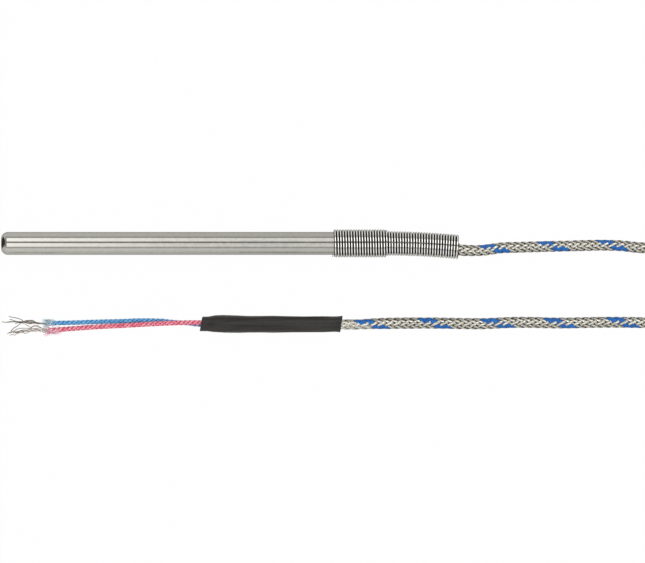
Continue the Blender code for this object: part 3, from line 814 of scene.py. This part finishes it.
sheath = polished_sheath()
spring = coiled_spring()
sleeve = wrinkled_sleeve()


# Frayed fibres at the leads' ends


def frayed_end(name, track, radius, back, reach, lean, seed):
    """Fine glass fibres that stand off the last stretch of a lead's cover.

    back is how far behind the end the first of them starts, and lean the way round the lead that
    most of them stand, in radians from its left side as it runs to its end.
    """
    draw = np.random.default_rng(seed)
    hairs = []
    for _ in range(FRAY_HAIRS):
        share = draw.uniform(0, 1)
        s = track.length - 0.0003 - back * share * share
        centre, ahead, side, top = (v[0] for v in track.at(np.array([s])))
        angle = lean + draw.normal(0, 0.9 + 1.2 * (1 - share))
        away = side * math.cos(angle) + top * math.sin(angle)
        length = reach * draw.uniform(0.4, 1.0)
        flare = draw.uniform(0.02, 0.42)
        bend = draw.normal(0, 0.2, 3)
        start = centre + away * radius * 0.95
        points = []
        for step in range(FRAY_HAIR_STEPS + 1):
            t = step / FRAY_HAIR_STEPS
            place = start + ahead * length * t + away * length * flare * math.sin(t * 2.2)
            place = place + bend * length * 0.3 * t * t
            place[2] = max(place[2], FLOOR_Z + 0.00004)
            points.append(place.tolist())
        hairs.append(points)
    return round_wire(name, hairs, FRAY_HAIR_RADIUS, 1)


blue_fray = frayed_end("blue_lead_fray", blue_track, BLUE_LEAD_DIAMETER / 2, 0.0020, 0.0019, 2.6, 3)
red_fray = frayed_end("red_lead_fray", red_track, RED_LEAD_DIAMETER / 2, 0.0034, 0.0020, 0.3, 4)


# Materials


class Nodes:
    """Adds and joins nodes in one tree."""

    def __init__(self, tree):
        self.tree = tree

    def add(self, kind, values=None, **settings):
        node = self.tree.nodes.new(kind)
        for key, value in settings.items():
            setattr(node, key, value)
        for key, value in (values or {}).items():
            if isinstance(value, bpy.types.NodeSocket):
                self.tree.links.new(value, node.inputs[key])
            else:
                node.inputs[key].default_value = value
        return node

    def join(self, output, node, key):
        self.tree.links.new(output, node.inputs[key])

    def math(self, operation, first, second=0.0):
        return self.add("ShaderNodeMath", {0: first, 1: second}, operation=operation).outputs[0]

    def blend(self, first, second, share):
        """Two values added up, the first by its share and the second by the rest."""
        rest = self.math("MULTIPLY", second, 1 - share)
        return self.math("ADD", self.math("MULTIPLY", first, share), rest)

    def map_range(self, value, low, high, start=0.0, end=1.0):
        """A value held between low and high, and read as start to end."""
        sockets = {"Value": value, 1: low, 2: high, 3: start, 4: end}
        return self.add("ShaderNodeMapRange", sockets).outputs[0]

    def mix(self, factor, first, second, blend_type="MULTIPLY"):
        sockets = {0: factor, 6: first, 7: second}
        return self.add("ShaderNodeMix", sockets, data_type="RGBA", blend_type=blend_type).outputs[2]

    def noise(self, place, scale, detail):
        sockets = {"Vector": place, "Scale": scale, "Detail": detail}
        return self.add("ShaderNodeTexNoise", sockets).outputs["Fac"]

    def split(self, vector):
        return self.add("ShaderNodeSeparateXYZ", {"Vector": vector}).outputs

    def vector(self, x, y, z):
        return self.add("ShaderNodeCombineXYZ", {"X": x, "Y": y, "Z": z}).outputs[0]

    def stretch(self, place, factors):
        sockets = {0: place, 1: factors}
        return self.add("ShaderNodeVectorMath", sockets, operation="MULTIPLY").outputs[0]

    def ramp(self, factor, stops):
        node = self.add("ShaderNodeValToRGB", {"Fac": factor})
        ramp = node.color_ramp
        while len(ramp.elements) < len(stops):
            ramp.elements.new(0.5)
        for element, (place, colour) in zip(ramp.elements, stops):
            element.position = place
            element.color = (*colour, 1.0)
        return node.outputs["Color"]


def fresh_nodes(owner):
    """An empty node tree on a material, a lamp or the world."""
    owner.use_nodes = True
    owner.node_tree.nodes.clear()
    return Nodes(owner.node_tree)


def new_group(name, inputs, outputs):
    """A node group that takes numbers, or a vector where the value is None, and puts out numbers."""
    group = bpy.data.node_groups.new(name, "ShaderNodeTree")
    for label, value in inputs.items():
        kind = "NodeSocketVector" if value is None else "NodeSocketFloat"
        socket = group.interface.new_socket(label, in_out="INPUT", socket_type=kind)
        if value is not None:
            socket.default_value = value
    for label in outputs:
        group.interface.new_socket(label, in_out="OUTPUT", socket_type="NodeSocketFloat")
    nodes = Nodes(group)
    return group, nodes, nodes.add("NodeGroupInput").outputs, nodes.add("NodeGroupOutput")


def drawn_marks_group():
    """Fine marks drawn out along X, with faint mottling under them."""
    group, n, given, result = new_group(
        "drawn_marks",
        {"Vector": None, "Streak Length": 60.0, "Streak Width": 9000.0, "Mottle": 700.0},
        ["Streaks", "Mottling"],
    )
    size = n.vector(given["Streak Length"], given["Streak Width"], given["Streak Width"])
    n.join(n.noise(n.stretch(given["Vector"], size), 1.0, 4.0), result, "Streaks")
    n.join(n.noise(given["Vector"], given["Mottle"], 5.0), result, "Mottling")
    return group


def band_fibres_group():
    """Fibres or wires that run along a braid's bands, read from the bands' own attribute."""
    group, n, given, result = new_group(
        "band_fibres",
        {"Fibres Across": 8.0, "Patch Length": 0.8, "Wires": 0.0},
        ["Lines", "Patches", "Edge", "Wire"],
    )
    band = n.add("ShaderNodeAttribute", attribute_name="band")
    along, across, number = n.split(band.outputs["Vector"])
    lengthwise = n.math("MULTIPLY", along, given["Patch Length"])
    crosswise = n.math("MULTIPLY", across, given["Fibres Across"])
    carrier = n.math("MULTIPLY", number, 40.0)
    n.join(n.noise(n.vector(lengthwise, crosswise, carrier), 1.0, 3.0), result, "Lines")
    n.join(n.noise(n.vector(lengthwise, across, carrier), 1.3, 2.0), result, "Patches")
    n.join(n.math("ABSOLUTE", across), result, "Edge")
    angle = n.math("MULTIPLY", n.math("ADD", across, 1.0), math.pi / 2)
    angle = n.math("MULTIPLY", angle, given["Wires"])
    n.join(n.math("ABSOLUTE", n.math("SINE", angle)), result, "Wire")
    return group


DRAWN_MARKS = drawn_marks_group()
BAND_FIBRES = band_fibres_group()


def new_material(name, roughness, metallic, **constants):
    """A material whose shader has these values on its own sockets."""
    material = bpy.data.materials.new(name)
    n = fresh_nodes(material)
    shader = n.add("ShaderNodeBsdfPrincipled", {"Roughness": roughness, "Metallic": metallic})
    for label, value in constants.items():
        shader.inputs[label.replace("_", " ")].default_value = value
    n.join(shader.outputs[0], n.add("ShaderNodeOutputMaterial"), "Surface")
    return material, n, shader


def object_place(n):
    return n.add("ShaderNodeTexCoord").outputs["Object"]


def bump(n, shader, height, strength, distance):
    node = n.add("ShaderNodeBump", {"Height": height, "Strength": strength, "Distance": distance})
    n.join(node.outputs["Normal"], shader, "Normal")


def metal(name, dark, light, roughness, streaks, depth, painted_shading=(), **constants):
    """A bare metal with drawn marks: its colour and roughness wander between two values.

    streaks gives the marks' length, their width and the mottling, as DRAWN_MARKS takes them. Each entry of
    fades is painted shade: the two ends along X between which the colour darkens, and the colour it
    is multiplied by there.
    """
    material, n, shader = new_material(name, roughness[0], 1.0, **constants)
    place = object_place(n)
    sizes = dict(zip(("Streak Length", "Streak Width", "Mottle"), streaks))
    marks = n.add("ShaderNodeGroup", {"Vector": place, **sizes}, node_tree=DRAWN_MARKS).outputs
    colour = n.ramp(n.blend(marks["Streaks"], marks["Mottling"], 0.55), [(0.32, dark), (0.68, light)])
    # Painted shade: the colour is multiplied down between two places along X.
    for start, end, dull in painted_shading:
        colour = n.mix(n.map_range(n.split(place)["X"], start, end), colour, (*dull, 1.0))
    n.join(colour, shader, "Base Color")
    n.join(n.map_range(marks["Mottling"], 0.3, 0.7, *roughness), shader, "Roughness")
    bump(n, shader, marks["Streaks"], 0.35, depth)
    return material


def band_material(name, metallic, roughness, stops, fibres, depth, edge, wires=None, **constants):
    """A braid's bands: wires or yarn with their own lines, and painted shade at the bands' edges.

    fibres gives how many fibres lie across a band and how quickly it changes along it. edge gives
    where across a band the painted shade starts, where it is full, and the colour it multiplies by
    there. wires gives how many wires lie side by side, and the colour of painted shade between them.
    """
    material, n, shader = new_material(name, roughness, metallic, **constants)
    sizes = {"Fibres Across": fibres[0], "Patch Length": fibres[1], "Wires": wires[0] if wires else 0.0}
    lines = n.add("ShaderNodeGroup", sizes, node_tree=BAND_FIBRES).outputs
    colour = n.ramp(n.blend(lines["Lines"], lines["Patches"], 0.6), stops)
    # Painted shade, darkest at the bands' edges.
    colour = n.mix(n.map_range(lines["Edge"], edge[0], edge[1]), colour, (*edge[2], 1.0))
    # Painted shade in the grooves between wires.
    if wires:
        crown = n.map_range(lines["Wire"], 0.15, 0.75)
        between = n.mix(crown, (*wires[1], 1.0), (1.0, 1.0, 1.0, 1.0), "MIX")
        colour = n.mix(1.0, colour, between)
    n.join(colour, shader, "Base Color")
    bump(n, shader, lines["Lines"], 0.6, depth)
    return material


def matte(name, dark, light, roughness, scale, depth, stretch=1.0, **constants):
    """A dull surface, mottled at one scale, its spots stretched along X."""
    material, n, shader = new_material(name, roughness, 0.0, **constants)
    mottling = n.noise(n.stretch(object_place(n), (1.0 / stretch, 1.0, 1.0)), scale, 6.0)
    n.join(n.ramp(mottling, [(0.35, dark), (0.65, light)]), shader, "Base Color")
    bump(n, shader, mottling, 0.4, depth)
    return material


def dress(slot, material, *pieces):
    """Gives new pieces their material and lets them ride with the part's one body; slot is not used."""
    for piece in pieces:
        piece.data.materials.append(material)
        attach(piece, "root")


SHEATH_STEEL = metal(
    "sheath_steel",
    (0.47, 0.46, 0.418),
    (0.565, 0.555, 0.508),
    (0.09, 0.15),
    (40, 7000, 900),
    0.000003,
    painted_shading=[
        # Painted shade: the colour darkens towards the spring, standing in for the softboxes' light falling
        # off along X.
        (0.005, 0.070, (0.90, 0.90, 0.91)),
        # Painted shade: nearly black under the spring, for the shade that falls into the gaps between the
        # turns.
        (SPRING_START - 0.0001, SPRING_START + 0.0005, (0.10, 0.09, 0.08)),
    ],
    Specular_Tint=(0.60, 0.60, 0.58, 1.0),
)
SPRING_STEEL = band_material(
    "spring_steel",
    1.0,
    0.07,
    [(0.30, (0.94, 0.92, 0.86)), (0.70, (1.0, 0.99, 0.95))],
    (1.5, 6.0),
    0.000002,
    # Painted shade: each turn's sides, where it meets the next turn, are darkened nearly to black.
    (0.27, 0.54, (0.020, 0.018, 0.014)),
    Specular_Tint=(0.60, 0.60, 0.58, 1.0),
)
STRAND_IRON = metal(
    "strand_iron", (0.07, 0.056, 0.047), (0.86, 0.76, 0.66), (0.22, 0.36), (700, 2400, 1800), 0.000003
)
STRAND_CONSTANTAN = metal(
    "strand_constantan", (0.05, 0.044, 0.038), (0.42, 0.38, 0.31), (0.22, 0.36), (700, 2400, 1800), 0.000003
)
WELD_METAL = metal(
    "weld_metal", (0.20, 0.19, 0.18), (0.40, 0.38, 0.36), (0.4, 0.6), (600, 600, 2500), 0.00002
)
BRAID_STEEL = band_material(
    "braid_steel",
    1.0,
    0.17,
    [(0.32, (0.30, 0.28, 0.22)), (0.50, (0.70, 0.68, 0.60)), (0.60, (1.0, 0.98, 0.92))],
    (5.0, 1.3),
    0.000020,
    # Painted shade: the bands darken towards their edges, where they pass under their neighbours.
    (0.48, 0.92, (0.06, 0.055, 0.045)),
    # Painted shade in the grooves between each band's wires.
    wires=(4.0, (0.45, 0.43, 0.38)),
)
TRACER_YARN = band_material(
    "tracer_yarn",
    0.0,
    0.5,
    [(0.30, (0.010, 0.037, 0.17)), (0.52, (0.019, 0.128, 0.43)), (0.72, (0.046, 0.28, 0.67))],
    (9.0, 2.2),
    0.00002,
    # Painted shade: the yarn darkens at its bands' edges.
    (0.80, 1.0, (0.45, 0.45, 0.55)),
    Specular_IOR_Level=0.15,
)
BLUE_FIBRE = band_material(
    "blue_fibre",
    0.0,
    0.42,
    [(0.30, (0.020, 0.17, 0.50)), (0.50, (0.08, 0.42, 0.78)), (0.66, (0.45, 0.82, 1.0))],
    (6.0, 1.2),
    0.00001,
    # Painted shade: the cover's bands darken towards their edges.
    (0.30, 0.85, (0.10, 0.20, 0.38)),
)
RED_FIBRE = band_material(
    "red_fibre",
    0.0,
    0.42,
    [(0.30, (0.50, 0.015, 0.06)), (0.48, (1.0, 0.14, 0.25)), (0.60, (1.0, 0.66, 0.73))],
    (6.0, 1.2),
    0.00001,
    # Painted shade: the cover's bands darken towards their edges.
    (0.30, 0.85, (0.38, 0.09, 0.15)),
)
CORE_FIBRE = matte("core_fibre", (0.05, 0.047, 0.04), (0.12, 0.11, 0.09), 0.8, 3000, 0.00002)
BLUE_CORE = matte("blue_core", (0.008, 0.06, 0.20), (0.02, 0.13, 0.34), 0.7, 5000, 0.00001)
RED_CORE = matte("red_core", (0.14, 0.004, 0.02), (0.34, 0.012, 0.06), 0.7, 5000, 0.00001)
SLEEVE_BLACK = matte(
    "sleeve_black",
    (0.007, 0.006, 0.0055),
    (0.026, 0.022, 0.020),
    0.50,
    900,
    0.00003,
    stretch=14.0,
    Specular_IOR_Level=0.4,
)
TIE_BLACK = matte("tie_black", (0.015, 0.015, 0.015), (0.035, 0.035, 0.035), 0.45, 2500, 0.00001)
CERAMIC = matte("ceramic", (0.78, 0.76, 0.70), (0.90, 0.88, 0.83), 0.6, 1800, 0.00002)
CEMENT = matte("cement", (0.60, 0.57, 0.50), (0.78, 0.75, 0.68), 0.85, 1200, 0.0001)
BLUE_FRAY = matte("blue_fray", (0.34, 0.48, 0.56), (0.74, 0.90, 0.96), 0.4, 2500, 0.000002)
RED_FRAY = matte("red_fray", (0.80, 0.36, 0.48), (1.0, 0.78, 0.84), 0.4, 2500, 0.000002)

dress("sheath_steel", SHEATH_STEEL, sheath)
dress("spring_steel", SPRING_STEEL, spring)
dress("sleeve_plastic", SLEEVE_BLACK, sleeve)
dress("wire_braid", CORE_FIBRE, cable_core)
dress("wire_braid", BRAID_STEEL, *braids.values())
dress("blue_fibre", TRACER_YARN, *tracers.values())
dress("blue_fibre", BLUE_CORE, blue_core)
dress("blue_fibre", BLUE_FIBRE, blue_cover)
dress("blue_fibre", BLUE_FRAY, blue_fray)
dress("red_fibre", RED_CORE, red_core)
dress("red_fibre", RED_FIBRE, red_cover)
dress("red_fibre", RED_FRAY, red_fray)
dress("constantan_wire", STRAND_CONSTANTAN, *blue_strands)
dress("iron_wire", STRAND_IRON, *red_strands)
CAD_FINISHES = {
    "junction_bead": WELD_METAL,
    "iron_leg": STRAND_IRON,
    "constantan_leg": STRAND_CONSTANTAN,
    "insulator_bead_1": CERAMIC,
    "insulator_bead_2": CERAMIC,
    "insulator_bead_3": CERAMIC,
    "cement_plug": CEMENT,
    "hank_tie_1": TIE_BLACK,
    "hank_tie_2": TIE_BLACK,
}
for node, material in CAD_FINISHES.items():
    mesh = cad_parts[node].data
    mesh.materials.clear()
    mesh.materials.append(material)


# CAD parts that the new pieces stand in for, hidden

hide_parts("sheath_tube")
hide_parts("kink_spring")
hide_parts("shrink_sleeve")
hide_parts("cable_probe_run", "cable_hank", "cable_tail_run")
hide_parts("blue_lead")
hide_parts("red_lead")


# Floor, lamps and surroundings


FLOOR_HALF_WIDTH = 3.0
FLOOR_SEEN = 0.985
FLOOR_MIRRORED = 0.5


def pale_floor():
    """A pale floor, near white to the camera and half as bright in reflections, that keeps shadows."""
    mesh = flat_grids("floor", 1, 1)
    mesh.transform(Matrix.Translation((0.1, 0.0, FLOOR_Z)) @ Matrix.Scale(FLOOR_HALF_WIDTH, 4))
    floor = linked("floor", mesh)
    material = bpy.data.materials.new("floor_white")
    n = fresh_nodes(material)
    dull = n.add("ShaderNodeBsdfDiffuse", {"Color": (0.60, 0.60, 0.595, 1.0)})
    white = n.add("ShaderNodeEmission", {"Color": (1, 1, 1, 1), "Strength": 1.0})
    path = n.add("ShaderNodeLightPath").outputs
    seen = n.math("MULTIPLY", path["Is Camera Ray"], FLOOR_SEEN)
    mirrored = n.math("MAXIMUM", path["Is Glossy Ray"], path["Is Transmission Ray"])
    share = n.math("MAXIMUM", seen, n.math("MULTIPLY", mirrored, FLOOR_MIRRORED))
    mixed = n.add("ShaderNodeMixShader", {0: share, 1: dull.outputs[0], 2: white.outputs[0]})
    n.join(mixed.outputs[0], n.add("ShaderNodeOutputMaterial"), "Surface")
    mesh.materials.append(material)


def grey_stops(levels):
    return [(place, (level, level, level)) for place, level in levels]


# The stretch along X over which a softbox dims, and the softboxes' own ends
DIMMING_ENDS = (-0.03, 0.27)
SOFTBOX_ENDS = (-0.33, 1.75)


def softbox(name, tilt, half_angle, radiance, dimmed=1.0, ends=SOFTBOX_ENDS, distance=1.0):
    """A lamp that fills a stretch of the sky, at a tilt from straight above towards +Y.

    tilt and half_angle are degrees. dimmed is the share of its light that it gives over the
    sheath's end at the spring.
    """
    length = ends[1] - ends[0]
    width = 2 * distance * math.tan(math.radians(half_angle))
    lamp = bpy.data.lights.new(name, "AREA")
    lamp.shape = "RECTANGLE"
    lamp.size = length
    lamp.size_y = width
    lamp.energy = radiance * math.pi * length * width
    obj = linked(name, lamp)
    angle = math.radians(tilt)
    obj.location = (sum(ends) / 2, distance * math.sin(angle), distance * math.cos(angle))
    obj.rotation_euler = (-angle, 0.0, 0.0)
    loss = 1 - dimmed
    levels = [(0.03, 1.0), (0.17, 1 - 0.65 * loss), (0.30, dimmed), (0.37, dimmed)]
    levels += [(0.40, dimmed + 0.25 * loss), (1.0, 1.0)]
    n = fresh_nodes(lamp)
    place = n.split(n.add("ShaderNodeNewGeometry").outputs["Position"])["X"]
    share = n.ramp(n.map_range(place, *DIMMING_ENDS), grey_stops(levels))
    glow = n.add("ShaderNodeEmission", {"Strength": share})
    n.join(glow.outputs[0], n.add("ShaderNodeOutputLight"), "Surface")
    return obj


CARD_X = -0.0076
CARD_NEAR_X = -0.0060
CARD_BOTTOM = FLOOR_Z + 0.0010


def dark_cards():
    """A dark card on the floor beyond the tip and one that stands on it, which only reflections show."""
    lying = [(CARD_NEAR_X, -0.0025), (CARD_NEAR_X, 0.0066), (CARD_X, 0.0085), (CARD_X, -0.0040)]
    standing = [(-0.0046, CARD_BOTTOM), (0.0085, CARD_BOTTOM), (0.0085, 0.0030)]
    standing += [(0.0056, 0.0110), (-0.0024, 0.0110), (-0.0046, 0.0015)]
    work = bmesh.new()
    work.faces.new([work.verts.new((x, y, FLOOR_Z + 0.0005)) for x, y in lying])
    work.faces.new([work.verts.new((CARD_X, y, z)) for y, z in standing])
    mesh = bpy.data.meshes.new("dark_card")
    work.to_mesh(mesh)
    work.free()
    card = linked("dark_card", mesh)
    material = bpy.data.materials.new("card_black")
    material.use_nodes = True
    material.node_tree.nodes["Principled BSDF"].inputs["Base Color"].default_value = (0.02, 0.02, 0.02, 1)
    mesh.materials.append(material)
    card.visible_camera = False
    card.visible_shadow = False
    card.visible_diffuse = False


# The surroundings' brightness by degrees from straight above towards +Y, with dark frames round the lamps
SURROUND_LEVELS = [
    (-90, 0.90), (-76, 0.94), (-64, 1.00), (-54, 0.92), (-46, 0.68), (-36, 0.50), (-20, 0.31),
    (20, 0.31), (52, 0.45), (60, 0.50), (68, 0.60), (76, 0.71), (90, 0.84),
]
SURROUND_END_LEVEL = 0.58


def surroundings():
    """Grey to both sides of the probe and beyond its ends, and darker straight above."""
    world = bpy.data.worlds.new("surroundings")
    scene.world = world
    n = fresh_nodes(world)
    x, y, z = n.split(n.add("ShaderNodeTexCoord").outputs["Generated"])
    beyond = n.map_range(n.math("ABSOLUTE", x), 0.60, 0.88)
    turned = n.map_range(n.math("ARCTAN2", y, z), -math.pi / 2, math.pi / 2)
    level = n.ramp(turned, grey_stops([((angle + 90) / 180, level) for angle, level in SURROUND_LEVELS]))
    level = n.math("ADD", level, n.math("MULTIPLY", beyond, n.math("SUBTRACT", SURROUND_END_LEVEL, level)))
    seen = n.add("ShaderNodeLightPath").outputs["Is Camera Ray"]
    level = n.math("ADD", level, n.math("MULTIPLY", seen, n.math("SUBTRACT", 1.0, level)))
    light = n.add("ShaderNodeBackground", {"Color": (1, 1, 1, 1), "Strength": level})
    n.join(light.outputs[0], n.add("ShaderNodeOutputWorld"), "Surface")


# The photo's sheath shows no reflection of the lead beside it
for piece in (sleeve, blue_cover, red_cover, blue_core, red_core):
    piece.visible_glossy = False
pale_floor()
dark_cards()
softbox("softbox_upper", 36.5, 17.7, 1.37, dimmed=0.65)
softbox("softbox_lower", -7.2, 9.8, 1.40, dimmed=0.52)
softbox("softbox_lower_rim", -25, 8, 1.32, dimmed=0.56)
fill = softbox("fill", 0, 40, 0.36, ends=(-0.62, 0.78), distance=1.2)
fill.visible_glossy = False
surroundings()
